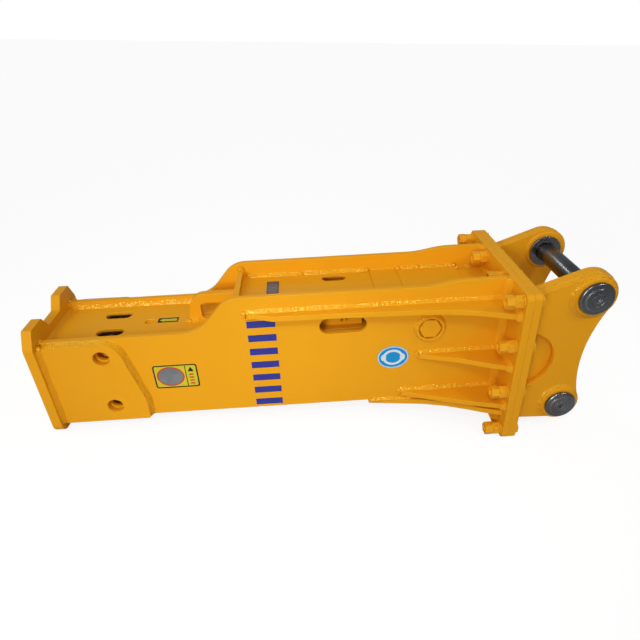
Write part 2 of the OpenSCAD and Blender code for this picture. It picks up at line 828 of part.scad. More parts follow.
through_nut_x1 = back_x1 + through_nut_t;
module through_bolts() {
    place() color(dark_steel) for (p = through_bolt_sites)
        rod_x(through_bolt_x0, through_nut_x1 + 8, p[0], p[1], through_bolt_r);
}
module through_bolt_nuts() {
    place() color(dark_steel) for (p = through_bolt_sites) difference() {
        hex_x(back_x1, through_nut_x1, p[0], p[1], through_nut_af);
        rod_x(back_x1 - 1, through_nut_x1 + 1, p[0], p[1], through_bolt_r);
    }
}

// Polyurethane pads that carry the power cell in the housing
damper_half_w = 112;
damper_inset = 6;
module top_damper() {
    place() color(urethane) difference() {
        block(back_x1, bracket_x - 1, -damper_half_w, damper_half_w, cell_bottom + damper_inset,
            back_top - damper_inset);
        for (p = through_bolt_sites)
            rod_x(back_x1 - 1, through_nut_x1 + 14, p[0], p[1], through_nut_af / 2 + 8);
    }
}
module bottom_damper() {
    place() color(urethane) difference() {
        block(0, head_x0, -damper_half_w, damper_half_w, cell_bottom + damper_inset,
            cell_top - damper_inset);
        rod_x(-1, head_x0 + 1, 0, axis_z, tool_opening_r + 10);
    }
}
wear_t = 10;
wear_x = [[240, 480], [1230, 1480]];
wear_z = [axis_z - 100, axis_z + 80];
module wear_plates() {
    place() color(black_rubber) for (s = SIDES) for (x = wear_x) {
        y0 = s > 0 ? cell_half_w : -cell_half_w - wear_t;
        block(x[0], x[1], y0, y0 + wear_t, wear_z[0], wear_z[1]);
    }
}

// Control valve on the front of the cylinder, with a port on each side behind a window
module valve_block() {
    place() color(cast) difference() {
        block(valve_x0, valve_x1, -valve_half_w, valve_half_w, cell_top, valve_top);
        rod_x(valve_x0 - 1, spool_x0 + spool_len + spool_travel + 6, 0, spool_z, spool_r);
        for (s = SIDES) translate([window_x, 0, window_z]) rotate([-s * 90, 0, 0])
            translate([0, 0, port_depth]) cylinder(h = valve_half_w - port_depth + 1, r = adapter_r);
        for (p = valve_screw_sites) rod_z(cell_top - 1, valve_top + 1, p[0], p[1], valve_screw_r);
    }
}
module valve_cap() {
    place() color(cast) {
        block(valve_x0 - 14, valve_x0, -40, 40, spool_z - 34, spool_z + 34);
        rod_x(valve_x0, valve_x0 + 18, 0, spool_z, spool_r);
    }
}
spool_grooves = [[30, 50], [75, 95]];
spool_groove_depth = 6;
module valve_spool() {
    outer = spool_r - fit;
    inner = spool_r - spool_groove_depth;
    place() color(bright_steel) translate([0, 0, spool_z]) rotate([0, 90, 0]) rotate_extrude()
        translate([0, spool_x0]) polygon(concat(
            [[0, 0], [outer, 0]],
            [for (g = spool_grooves) each [[outer, g[0]], [inner, g[0]], [inner, g[1]], [outer, g[1]]]],
            [[outer, spool_len], [0, spool_len]]));
}
module valve_screws() {
    place() color(dark_steel) for (p = valve_screw_sites) {
        rod_z(cell_top, valve_top, p[0], p[1], valve_screw_r);
        translate([p[0], p[1], valve_top]) difference() {
            cylinder(h = 7, r = 12);
            translate([0, 0, 2]) cylinder(h = 6, r = 7, $fn = 6);
        }
    }
}

// Open threaded adapter in each port of the control valve
adapter_hex_t = 16;
module hose_adapters() {
    place() color(bright_steel) for (s = SIDES)
        translate([window_x, 0, window_z]) rotate([-s * 90, 0, 0]) difference() {
            union() {
                translate([0, 0, port_depth]) cylinder(h = valve_half_w - port_depth, r = adapter_r);
                translate([0, 0, valve_half_w]) cylinder(h = adapter_hex_t, r = adapter_hex_r, $fn = 6);
                translate([0, 0, valve_half_w]) cylinder(h = adapter_out - valve_half_w, r = adapter_r);
            }
            translate([0, 0, port_depth - 1]) cylinder(h = adapter_out, r = port_r);
        }
}

module grease_plug() {
    place() color(paint) difference() {
        rod_z(lower_wall_z - wall_t, lower_wall_z - 6, grease_x, 0, grease_hole_r);
        rod_z(lower_wall_z - 8, lower_wall_z, grease_x, 0, 6);
    }
}

// ---------------------------------------------------------------- blank plates and labels

label_t = 0.8;
nameplate_at = [773, -17];
nameplate_size = [44, 93];
module nameplate() {
    place() color(bright_steel) translate([nameplate_at[0], nameplate_at[1], upper_wall_z])
        cube([nameplate_size[0], nameplate_size[1], 2 * label_t]);
}

// Lays a label, drawn as seen along +Y, on the outside of both side plates
module on_sides() {
    for (s = SIDES) translate([0, s > 0 ? shell_w / 2 + label_t : -shell_w / 2, 0])
        rotate([90, 0, 0]) linear_extrude(label_t) children();
}

front_label_x = [366, 440];
front_label_half = 16;
side_label_x = [355, 512];
side_label_z = [116, 216];
side_label_corner = 10;
module yellow_labels() {
    outline = rounded([for (p = [[0, 0], [1, 0], [1, 1], [0, 1]])
        [side_label_x[p[0]], side_label_z[p[1]], side_label_corner]]);
    place() color("#e8c820") {
        on_sides() polygon(outline);
        block(front_label_x[0], front_label_x[1], -front_label_half, front_label_half, lower_wall_z,
            lower_wall_z + label_t);
    }
}

oval_at = [1213, 190];
oval_r = [57, 48];
module oval_labels() {
    place() color("#1496d6") on_sides()
        polygon([for (a = [0 : 6 : 354]) oval_at + [oval_r[0] * cos(a), oval_r[1] * sin(a)]]);
}

stripe_x = [706, 804];
stripe_z0 = 12;
stripe_h = 27;
stripe_step = 56;
module stripe_labels() {
    place() color("#20308c") on_sides() for (i = [0 : 6])
        translate([stripe_x[0], stripe_z0 + i * stripe_step]) square([stripe_x[1] - stripe_x[0], stripe_h]);
}

side_plate_left();
side_plate_right();
tool_end_plate();
cheek_plate_left();
cheek_plate_right();
lower_front_wall();
upper_front_wall();
service_cover();
step_wall();
lifting_lug();
back_wall();
base_plate();
base_gussets();
upper_ribs();
middle_ribs();
lower_ribs();
housing_flange();
plug_rings();
side_plugs();
bracket_flange();
ear_left();
ear_right();
ear_doublers();
ear_bosses();
pin_bushes();
upper_pin();
lower_pin();
upper_pin_caps();
lower_pin_caps();
upper_pin_screws();
lower_pin_screws();
flange_bolts();
flange_nuts();
flange_washers();
front_head();
lower_bushing();
bushing_pins();
tool_pins();
thrust_ring();
cylinder_body();
piston();
seal_carrier();
piston_seals();
back_head();
through_bolts();
through_bolt_nuts();
top_damper();
bottom_damper();
wear_plates();
valve_block();
valve_cap();
valve_spool();
valve_screws();
hose_adapters();
gas_valve();
grease_plug();
nameplate();
yellow_labels();
oval_labels();
stripe_labels();
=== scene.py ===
import json
import math
import random

import bpy
from mathutils import Matrix, Vector


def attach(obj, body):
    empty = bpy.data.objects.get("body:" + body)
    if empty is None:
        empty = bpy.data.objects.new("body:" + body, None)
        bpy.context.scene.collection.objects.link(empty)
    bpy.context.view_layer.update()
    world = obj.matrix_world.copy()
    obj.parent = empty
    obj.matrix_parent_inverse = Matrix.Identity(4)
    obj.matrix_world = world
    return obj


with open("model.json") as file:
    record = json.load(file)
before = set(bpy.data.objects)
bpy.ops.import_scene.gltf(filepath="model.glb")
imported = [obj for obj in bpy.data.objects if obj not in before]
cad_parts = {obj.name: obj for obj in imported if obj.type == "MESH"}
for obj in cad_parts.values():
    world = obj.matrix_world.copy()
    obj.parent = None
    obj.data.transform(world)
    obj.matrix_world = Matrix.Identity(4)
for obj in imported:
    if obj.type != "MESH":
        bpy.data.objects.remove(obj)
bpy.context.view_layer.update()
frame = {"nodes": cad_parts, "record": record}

# The hammer's own stations, in mm: x from the tool end plate's inner face, y from the middle plane and
# z from the side plates' lower edge. P() takes them to the row frame.
MM = 0.001
MID_X, DROP = 951.5, 110.0


def P(x, y, z):
    """The point in the row frame, in metres, of a station in mm."""
    return Vector(((x - MID_X) * MM, y * MM, (z + DROP) * MM))


# Sizes of the CAD model that the added pieces follow, in mm. Shell and tool end:
SHELL_LEN, HALF_W, INNER = 1600.0, 150.0, 130.0
TOOL_TOP, END_TOP = 340.0, 484.0
CHEEK_T, CHEEK_TOP = 24.0, 330.0
# Outline of the cheek plate: x, z and corner radius
CHEEK = [(6.0, 330.0, 0.0), (256.0, 330.0, 70.0), (316.0, 86.0, 40.0), (316.0, 0.0, 0.0)]

# Recessed walls, step wall, service cover and lifting lug
LOWER_WALL, UPPER_WALL, END_WALL, END_WALL_X = 312.0, 406.0, 399.0, 1492.0
STEP_X, STEP_T, STEP_TOP = 664.0, 20.0, 440.0
COVER = (1160.0, 1265.0)
LUG_X, LUG_HALF, LUG_TOP, EYE = 484.0, 14.0, 418.0, (532.0, 636.0)

# Side ribs: z of the lower face, x of the front end, and how far each reaches out at the flange
RIB_T = 20.0
RIBS = ((388.0, 704.0, 269.0), (183.0, 1300.0, 268.0), (18.0, 1242.0, 272.0))

# Base plate with its webs, and the plug on each side
BASE_X, BASE_T, BASE_HALF = 1130.0, 20.0, 258.0
GUSSET_Y, GUSSET_T, GUSSET_X, GUSSET_LOW = (140.0, 208.0), 16.0, 1558.0, -98.0
PLUG, PLUG_RING = (1338.0, 308.0), 49.0

# Ears of the bracket. MOON is the z of both ends of the half-moon cut-out at the flange, and HOLLOW is the
# x, z and radius of the arc between the pins.
EAR_IN, EAR_OUT, DOUBLER_OUT, EAR_X = 166.0, 196.0, 220.0, 1650.0
EAR_TOP, EAR_BOTTOM, EAR_SLOPE = 446.0, -75.0, 20.0
MOON, HOLLOW = (74.0, 302.0), (2346.0, 166.6, 476.0)
BOSS_STEP, COLLAR = 6.0, 70.0
# Each bracket pin: x, z, the ear's radius, the two boss radii and the way to the ear's middle in degrees
PINS = ((1854.0, 432.0, 83.0, 74.0, 68.0, 235.0), (1822.0, -7.0, 76.0, 70.0, 65.0, 128.0))

# The side of the housing that faces the viewer in the photo, and the one behind it, as the sign of y
SIDES = ((-1, "near"), (1, "far"))


# ------------------------------------------------------------------ shader nodes

def tree(name):
    """A new material, its node tree and its Principled node."""
    mat = bpy.data.materials.new(name)
    mat.use_nodes = True
    nt = mat.node_tree
    return mat, nt, nt.nodes["Principled BSDF"]


def node(nt, kind, **props):
    """A new node of a kind, with its properties set."""
    made = nt.nodes.new(kind)
    for key, value in props.items():
        setattr(made, key, value)
    return made


def noise(nt, coords, scale, detail=3.0, rough=0.5):
    """Noise from 0 to 1 over the coordinates."""
    n = node(nt, "ShaderNodeTexNoise")
    n.inputs["Scale"].default_value = scale
    n.inputs["Detail"].default_value = detail
    n.inputs["Roughness"].default_value = rough
    nt.links.new(coords, n.inputs["Vector"])
    return n.outputs["Fac"]


def ramp(nt, fac, lo, hi, out_lo, out_hi):
    """A value taken from one range to another, and kept inside it."""
    n = node(nt, "ShaderNodeMapRange")
    n.inputs["From Min"].default_value = lo
    n.inputs["From Max"].default_value = hi
    n.inputs["To Min"].default_value = out_lo
    n.inputs["To Max"].default_value = out_hi
    nt.links.new(fac, n.inputs["Value"])
    return n.outputs["Result"]


def product(nt, a, b):
    """The product of two values."""
    n = node(nt, "ShaderNodeMath", operation="MULTIPLY")
    nt.links.new(a, n.inputs[0])
    nt.links.new(b, n.inputs[1])
    return n.outputs[0]


def blend_colour(nt, fac, a, b):
    """A mix of two colours, each a tuple or another node's output."""
    n = node(nt, "ShaderNodeMix", data_type="RGBA")
    nt.links.new(fac, n.inputs[0])
    for value, socket in ((a, n.inputs[6]), (b, n.inputs[7])):
        if isinstance(value, tuple):
            socket.default_value = (*value, 1.0)
        else:
            nt.links.new(value, socket)
    return n.outputs[2]


def stretched(nt, coords, scale):
    """Coordinates that draw a texture out along the axes with a small scale."""
    n = node(nt, "ShaderNodeMapping")
    n.inputs["Scale"].default_value = scale
    nt.links.new(coords, n.inputs["Vector"])
    return n.outputs["Vector"]


def grain_bump(nt, bsdf, height, depth):
    """A faint relief, from a height of 0 to 1 that stands for depth metres."""
    strength = 0.35
    n = node(nt, "ShaderNodeBump")
    n.inputs["Strength"].default_value = strength
    n.inputs["Distance"].default_value = depth
    nt.links.new(height, n.inputs["Height"])
    nt.links.new(n.outputs["Normal"], bsdf.inputs["Normal"])


def edges(nt, radius):
    """White at the object's edges, from how far a bevelled normal turns away from the flat one."""
    bevel = node(nt, "ShaderNodeBevel", samples=4)
    bevel.inputs["Radius"].default_value = radius
    geometry = node(nt, "ShaderNodeNewGeometry")
    dot = node(nt, "ShaderNodeVectorMath", operation="DOT_PRODUCT")
    nt.links.new(bevel.outputs["Normal"], dot.inputs[0])
    nt.links.new(geometry.outputs["Normal"], dot.inputs[1])
    flat, turned = 0.995, 0.80
    return ramp(nt, dot.outputs["Value"], flat, turned, 0.0, 1.0)


# ------------------------------------------------------------------ finishes

def surface(name, colour, other, rough, rough_other, scale, metal=0.0, grain=220.0, grain_depth=0.0002,
            coat=0.0, specular=0.5, sheen=None, edge=None, edge_amount=0.35, edge_width=0.0022,
            wear_and_highlight_range=(0.40, 0.62), streak=None):
    """A finish with patches of two colours, a varying roughness, a fine grain and lighter edges.

    Scale and grain set how fine the patches and the grain are, and sheen tints the gloss. The edge colour
    shows along the edges, edge_width metres wide, and grows as the spots rise through
    wear_and_highlight_range.
    On the cast metal it is wear; on the paints and the dark steel it is a painted highlight. Streak draws the
    spots out.
    """
    mat, nt, bsdf = tree(name)
    coords = node(nt, "ShaderNodeTexCoord").outputs["Object"]
    patches = noise(nt, coords, scale)
    fine = noise(nt, coords, grain, detail=2.0)
    source = stretched(nt, coords, streak) if streak else coords
    spots = noise(nt, source, scale * 9.0, detail=5.0, rough=0.65)
    base = blend_colour(nt, ramp(nt, patches, 0.35, 0.65, 0.0, 1.0), colour, other)
    if edge:
        # Lighter colour along the edges in patches: wear on the cast metal, a painted highlight on the paints
        # and the dark steel
        wear_and_highlight = product(nt, edges(nt, edge_width), ramp(nt, spots, *wear_and_highlight_range, 0.0, edge_amount))
        base = blend_colour(nt, wear_and_highlight, base, edge)
    nt.links.new(base, bsdf.inputs["Base Color"])
    nt.links.new(ramp(nt, spots, 0.3, 0.7, rough, rough_other), bsdf.inputs["Roughness"])
    bsdf.inputs["Metallic"].default_value = metal
    bsdf.inputs["Specular IOR Level"].default_value = specular
    if sheen:
        bsdf.inputs["Specular Tint"].default_value = (*sheen, 1.0)
    bsdf.inputs["Coat Weight"].default_value = coat
    bsdf.inputs["Coat Roughness"].default_value = 0.1
    grain_bump(nt, bsdf, fine, grain_depth)
    return mat


def label_finish(name, colour, other, rough=0.30, rough_other=0.42):
    """A smooth printed finish."""
    return surface(name, colour, other, rough, rough_other, scale=30.0, grain_depth=0.00005, specular=0.3)


WARM_SHEEN = (1.0, 0.74, 0.22)
# The housing paint's lighter orange edge colour, in patches, is a painted highlight along the edges
PAINT = surface("housing_paint", (0.84, 0.378, 0.010), (0.81, 0.352, 0.009), 0.34, 0.46, scale=2.2,
                grain=340.0, grain_depth=0.00014, specular=0.12, edge=(0.93, 0.50, 0.04), edge_amount=0.4)
# The weld paint is a little yellower than the housing paint: a painted highlight that warms the welds' gloss
WELD_PAINT = surface("weld_paint", (0.84, 0.40, 0.010), (0.79, 0.355, 0.009), 0.14, 0.26, scale=9.0,
                     grain=70.0, grain_depth=0.022, coat=0.06, specular=0.9, sheen=WARM_SHEEN)
# The nut paint is a little lighter than the housing paint, and lighter still along the edges in patches: a
# painted highlight
NUT_PAINT = surface("nut_paint", (0.86, 0.39, 0.012), (0.82, 0.36, 0.010), 0.22, 0.34, scale=9.0,
                    grain=340.0, grain_depth=0.0002, coat=0.1, specular=0.6, sheen=WARM_SHEEN,
                    edge=(0.95, 0.56, 0.07), edge_amount=0.6)
BRIGHT = surface("bright_steel", (0.55, 0.56, 0.57), (0.47, 0.48, 0.50), 0.22, 0.36, metal=1.0, scale=14.0,
                 grain=600.0, grain_depth=0.00008, streak=(0.05, 1.0, 1.0))
# The dark steel's pale rim along its edges, nearly even all round, is a painted highlight
DARK = surface("dark_steel", (0.22, 0.23, 0.245), (0.155, 0.16, 0.17), 0.24, 0.36, metal=1.0, scale=11.0,
               grain=520.0, grain_depth=0.00003, edge=(0.66, 0.67, 0.69), edge_amount=0.9,
               edge_width=0.004, wear_and_highlight_range=(0.05, 0.45))
CAST = surface("cast_metal", (0.15, 0.16, 0.17), (0.11, 0.12, 0.13), 0.45, 0.65, metal=0.7, scale=16.0,
               grain=300.0, grain_depth=0.0004, edge=(0.35, 0.36, 0.38), edge_amount=0.4)
URETHANE = surface("urethane", (0.42, 0.055, 0.028), (0.34, 0.04, 0.02), 0.45, 0.6, scale=8.0)
BRASS = surface("brass", (0.60, 0.44, 0.17), (0.50, 0.36, 0.13), 0.25, 0.4, metal=1.0, scale=30.0)
# A dark brown sheet of painted shade, laid in the pockets under the slots
POCKET_SHADE = surface("grease", (0.060, 0.018, 0.005), (0.040, 0.012, 0.004), 0.35, 0.6, scale=18.0)
RUBBER = surface("rubber", (0.022, 0.022, 0.024), (0.035, 0.034, 0.033), 0.6, 0.8, scale=18.0)
PLATE = surface("plate_metal", (0.070, 0.060, 0.070), (0.10, 0.085, 0.085), 0.35, 0.5, metal=0.3, scale=40.0)
YELLOW = label_finish("label_yellow", (0.66, 0.56, 0.020), (0.60, 0.50, 0.020), 0.28, 0.38)
BLUE = label_finish("label_blue", (0.004, 0.29, 0.66), (0.006, 0.26, 0.60), 0.28, 0.38)
NAVY = label_finish("label_dark", (0.026, 0.034, 0.30), (0.030, 0.040, 0.26), 0.28, 0.38)
BLACK = label_finish("label_black", (0.016, 0.016, 0.014), (0.024, 0.024, 0.022))
GREY = label_finish("label_grey", (0.20, 0.21, 0.22), (0.16, 0.17, 0.18))
WHITE = label_finish("label_white", (0.72, 0.78, 0.82), (0.66, 0.72, 0.76))
RED = label_finish("label_red", (0.62, 0.045, 0.02), (0.55, 0.04, 0.02))

BY_SLOT = {
    "housing_paint": PAINT, "bright_steel": BRIGHT, "dark_steel": DARK, "cast_metal": CAST,
    "urethane": URETHANE, "brass": BRASS, "rubber": RUBBER, "plate_metal": PLATE,
    "label_yellow": YELLOW, "label_blue": BLUE, "label_dark": NAVY,
}


# ------------------------------------------------------------------ CAD pieces

# Pieces too thin for a bevel, small ones that get a narrow one, and those with the glossier paint
THIN = {"yellow_labels", "oval_labels", "stripe_labels", "nameplate", "piston_seals"}
SMALL = {"flange_bolts", "flange_nuts", "flange_washers", "side_plugs", "plug_rings", "valve_screws",
         "hose_adapters", "gas_valve", "grease_plug", "upper_pin_screws", "lower_pin_screws"}
GLOSSY = {"flange_bolts", "flange_nuts", "flange_washers"}
# Bevel widths and the gap to close between points in mm, then angles in degrees
BEVEL, SMALL_BEVEL, JOIN_GAP = 2.0, 1.0, 0.02
FLAT_ANGLE, SHARP_ANGLE = 0.3, 38


def round_edges(obj, width):
    """Joins the mesh's points, merges what is flat, and rounds the sharp edges, width mm wide."""
    weld = obj.modifiers.new("join", "WELD")
    weld.merge_threshold = JOIN_GAP * MM
    flat = obj.modifiers.new("flat", "DECIMATE")
    flat.decimate_type = "DISSOLVE"
    flat.angle_limit = math.radians(FLAT_ANGLE)
    bevel = obj.modifiers.new("edge", "BEVEL")
    bevel.width = width * MM
    bevel.segments = 2
    bevel.limit_method = "ANGLE"
    bevel.angle_limit = math.radians(SHARP_ANGLE)
    bevel.use_clamp_overlap = False
    bevel.harden_normals = True


slot_of = {s["node"]: s["material_slot"] for s in frame["record"]["subparts"]}
for name, obj in frame["nodes"].items():
    obj.data.materials.clear()
    obj.data.materials.append(NUT_PAINT if name in GLOSSY else BY_SLOT[slot_of[name]])
    if name not in THIN:
        round_edges(obj, SMALL_BEVEL if name in SMALL else BEVEL)


# ------------------------------------------------------------------ building blocks

def add_mesh(name, verts, faces, mat, smooth=False):
    """A new piece that rides with the housing."""
    mesh = bpy.data.meshes.new(name)
    mesh.from_pydata([tuple(v) for v in verts], [], faces)
    mesh.validate()
    for face in mesh.polygons:
        face.use_smooth = smooth
    mesh.materials.append(mat)
    obj = bpy.data.objects.new(name, mesh)
    bpy.context.scene.collection.objects.link(obj)
    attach(obj, "housing")


def arc(centre, r, start, stop, count):
    """(x, z) pairs of an arc from one angle in degrees to another."""
    return [(centre[0] + r * math.cos(math.radians(start + (stop - start) * i / count)),
             centre[1] + r * math.sin(math.radians(start + (stop - start) * i / count)))
            for i in range(count + 1)]


def circle(centre, r):
    """Clockwise (x, z) pairs of a circle."""
    count = 60
    return arc(centre, r, 360.0, 360.0 / count, count - 1)


def rounded(pts, count):
    """The CAD model's rounded corners: (x, z, radius) triples to (x, z) pairs, with both ends kept."""
    out = []
    for i, (x, z, r) in enumerate(pts):
        if r <= 0:
            out.append((x, z))
            continue
        b = Vector((x, z))
        u = (Vector(pts[i - 1][:2]) - b).normalized()
        v = (Vector(pts[i + 1][:2]) - b).normalized()
        half = math.acos(u.dot(v)) / 2
        o = b + (u + v).normalized() * (r / math.sin(half))
        p, q = b + u * (r / math.tan(half)) - o, b + v * (r / math.tan(half)) - o
        start, turn = math.atan2(p.y, p.x), math.atan2(q.y, q.x) - math.atan2(p.y, p.x)
        turn = turn - 2 * math.pi if turn > math.pi else turn + 2 * math.pi if turn < -math.pi else turn
        for k in range(count + 1):
            t = start + turn * k / count
            out.append((o.x + r * math.cos(t), o.y + r * math.sin(t)))
    return out


def ear_outline(inset):
    """The doubler's outline from the flange over the upper pin, down the hollow and round the lower pin."""
    (ux, uz, ur, *_), (lx, lz, lr, *_) = PINS
    hollow, lead = HOLLOW[:2], EAR_X + 12
    up = math.degrees(math.atan2(hollow[1] - uz, hollow[0] - ux))
    low = math.degrees(math.atan2(hollow[1] - lz, hollow[0] - lx))
    over = arc((ux, uz), ur - inset, 90.0 + EAR_SLOPE, up, 30)
    down = arc(hollow, HOLLOW[2] + inset, up + 180, low + 180, 30)
    under = arc((lx, lz), lr - inset, low, -90, 30)
    start = (lead, over[0][1] - (over[0][0] - lead) * math.tan(math.radians(EAR_SLOPE)))
    return [start] + over + down + under + [(lead, lz - lr + inset)]


# ------------------------------------------------------------------ how a weld is made

def along(stations, step, closed):
    """Stations (point, a, b, leg_a, leg_b) a given step apart, from those given."""
    track = stations + [stations[0]] if closed else stations
    lengths = [(q[0] - p[0]).length for p, q in zip(track, track[1:])]
    total = sum(lengths)
    count = max(3, round(total / step))
    out, k, run = [], 0, 0.0
    for i in range(count if closed else count + 1):
        at = total * i / count
        while k < len(lengths) - 1 and run + lengths[k] < at:
            run += lengths[k]
            k += 1
        t = min(max((at - run) / lengths[k], 0.0), 1.0) if lengths[k] else 0.0
        p, q = track[k], track[k + 1]
        out.append((p[0].lerp(q[0], t), p[1].lerp(q[1], t).normalized(), p[2].lerp(q[2], t).normalized(),
                    p[3] + (q[3] - p[3]) * t, p[4] + (q[4] - p[4]) * t))
    return out


class Welds:
    """Collects fillet welds in one mesh. Each fills the corner between two faces with a rippled skin."""

    STEPS = 6
    RING = STEPS + 4

    def __init__(self, seed):
        self.verts, self.faces = [], []
        self.random = random.Random(seed)

    def phase(self):
        """A random phase of a wave, in radians."""
        return self.random.random() * 6.28

    def run(self, stations, closed=False, ripple=0.05, pitch=7.0, wander=0.08, fullness=1.08):
        """Stations hold the corner point, the ways a and b from it along the faces, and the legs in mm.

        The ripples are pitch mm long, wander lets the size drift, and a fullness over 1 makes the skin bulge.
        """
        step = pitch / 3.0 * MM
        path = along(stations, step, closed)
        start, last = len(self.verts), len(path) - 1
        phase, slow = self.phase(), self.phase()
        for i, station in enumerate(path):
            dist = i * step / MM
            scale = self.drift(dist, slow, wander)
            if not closed:
                scale *= self.taper(min(i, last - i) * step / MM, max(station[3:]))
            self.section(station, scale, ripple, dist / pitch * 2 * math.pi + phase, 2.0 / fullness)
        self.join(start, len(path), closed)

    @staticmethod
    def drift(dist, slow, wander):
        """How a weld's size drifts along it, from three slow waves of uneven length in mm."""
        return 1 + wander * (math.sin(dist / 31.0 + slow) + 0.6 * math.sin(dist / 13.7 + 2 * slow)
                             + 0.5 * math.sin(dist / 71.0)) / 1.6

    @staticmethod
    def taper(end, leg):
        """How a weld thins towards its end, over the length of its leg."""
        return min(1.0, 0.45 + 0.55 * math.sqrt(min(1.0, end / max(leg, 0.1))))

    def section(self, station, scale, ripple, angle, power):
        """Adds the ring of points across the weld at one station."""
        p, a, b, leg_a, leg_b = station
        bow, overlap, sink, root = 1.5, 1.0 * MM, 0.3 * MM, 1.5 * MM
        skin = []
        for k in range(self.STEPS + 1):
            t = math.pi / 2 * k / self.STEPS
            wave = math.sin(angle + bow * math.sin(2 * t))
            r = scale * (1 + ripple * wave * math.sin(2 * t))
            reach = a * (leg_a * math.cos(t) ** power) + b * (leg_b * math.sin(t) ** power)
            skin.append(p + reach * (r * MM))
        # The skin runs on a little under both faces, so that it meets them without a crease
        self.verts.append(skin[0] + (skin[0] - skin[1]).normalized() * overlap - b * sink)
        self.verts.extend(skin)
        self.verts.append(skin[-1] + (skin[-1] - skin[-2]).normalized() * overlap - a * sink)
        self.verts.append(p - (a + b) * root)

    def join(self, start, n, closed):
        """Joins n rings of points, and closes both ends of a weld that doesn't meet itself."""
        sides = self.RING
        for i in range(n if closed else n - 1):
            q, r = start + i * sides, start + ((i + 1) % n) * sides
            for k in range(sides):
                self.faces.append((q + k, q + (k + 1) % sides, r + (k + 1) % sides, r + k))
        if not closed:
            self.faces.append(tuple(start + k for k in reversed(range(sides))))
            self.faces.append(tuple(start + (n - 1) * sides + k for k in range(sides)))

    def straight(self, p, q, a, b, leg_a, leg_b=None, **kw):
        """A weld along the corner from station p to station q, with its two legs in mm."""
        leg_b = leg_a if leg_b is None else leg_b
        a, b = Vector(a), Vector(b)
        self.run([(P(*p), a, b, leg_a, leg_b), (P(*q), a, b, leg_a, leg_b)], **kw)

    def flat(self, pts, y, up, legs, closed=False, **kw):
        """A weld round a clockwise outline of (x, z) pairs on the face at y, with the edge rising along up.

        Legs is a pair, or a function of the way out from the outline that gives one.
        """
        n, out = len(pts), []
        for i, (x, z) in enumerate(pts):
            p = pts[(i - 1) % n if closed else max(i - 1, 0)]
            q = pts[(i + 1) % n if closed else min(i + 1, n - 1)]
            a = Vector((p[1] - q[1], 0, q[0] - p[0])).normalized()
            leg = legs(a) if callable(legs) else legs
            out.append((P(x, y, z), a, Vector((0, up, 0)), leg[0], leg[1]))
        self.run(out, closed=closed, **kw)

    def blob(self, centre, radius, squash):
        """A lump of weld metal, such as the stop at the end of a weld."""
        rings, sides, start = 7, 12, len(self.verts)
        wob = self.phase()
        for i in range(1, rings):
            t = math.pi * i / rings
            for k in range(sides):
                a = 2 * math.pi * k / sides
                r = radius * (1 + 0.08 * math.sin(3 * a + wob) + 0.05 * math.sin(2 * t + wob)) * MM
                self.verts.append(centre + Vector((
                    r * squash[0] * math.sin(t) * math.cos(a),
                    r * squash[1] * math.sin(t) * math.sin(a),
                    r * squash[2] * math.cos(t))))
        for i in range(rings - 2):
            for k in range(sides):
                a, b = start + i * sides, start + (i + 1) * sides
                self.faces.append((a + k, b + k, b + (k + 1) % sides, a + (k + 1) % sides))
        self.faces.append(tuple(start + k for k in range(sides)))
        self.faces.append(tuple(start + (rings - 2) * sides + k for k in reversed(range(sides))))

    def build(self, name, mat):
        """Makes one piece of all the welds."""
        add_mesh(name, self.verts, self.faces, mat, smooth=True)


# ------------------------------------------------------------------ where the welds are

# A straight weld is given by the stations of its ends, the ways along the two faces that it joins, and its
# legs in mm. The welds get a glossy paint of their own, and the fillets share the housing's.
X, MINUS_X, UP, DOWN = (1, 0, 0), (-1, 0, 0), (0, 0, 1), (0, 0, -1)
SMOOTH = {"ripple": 0.01, "wander": 0.03, "fullness": 0.85}
WELD_SEED, FILLET_SEED = 3, 5
welds, fillets = Welds(WELD_SEED), Welds(FILLET_SEED)


def out_of(s):
    """The way out of the housing at one side."""
    return 0, s, 0


def into(s):
    """The way into the housing at one side."""
    return 0, -s, 0


def cheek_legs(a):
    """The legs of the cheek plate's weld, which is widest at the end that faces the bracket."""
    return 9.5 + 3.0 * max(a.x, 0.0), 23.5


def weld_cheek(s):
    """Round the cheek plate, and from it and the side plate to the tool end plate."""
    out, inward = out_of(s), into(s)
    y, cheek_y, inner = s * HALF_W, s * (HALF_W + CHEEK_T), s * INNER
    welds.flat(rounded(CHEEK, 14), y, s, cheek_legs, ripple=0.09, pitch=9.0, wander=0.06, fullness=0.92)
    fillets.straight((0, cheek_y, 2), (0, cheek_y, CHEEK_TOP - 2), X, out, 12, 16,
                     ripple=0.05, pitch=9.0, wander=0.12, fullness=0.95)
    fillets.straight((0, y, CHEEK_TOP), (0, y, TOOL_TOP), X, out, 12, **SMOOTH)
    welds.blob(P(5, cheek_y - s * 4, CHEEK_TOP - 1), 11.0, (1.0, 0.9, 0.9))
    welds.straight((0, s * (INNER + 2), TOOL_TOP), (0, s * (HALF_W - 2), TOOL_TOP), X, UP, 9)
    fillets.straight((0, inner, LOWER_WALL), (0, inner, TOOL_TOP), X, inward, 10, **SMOOTH)


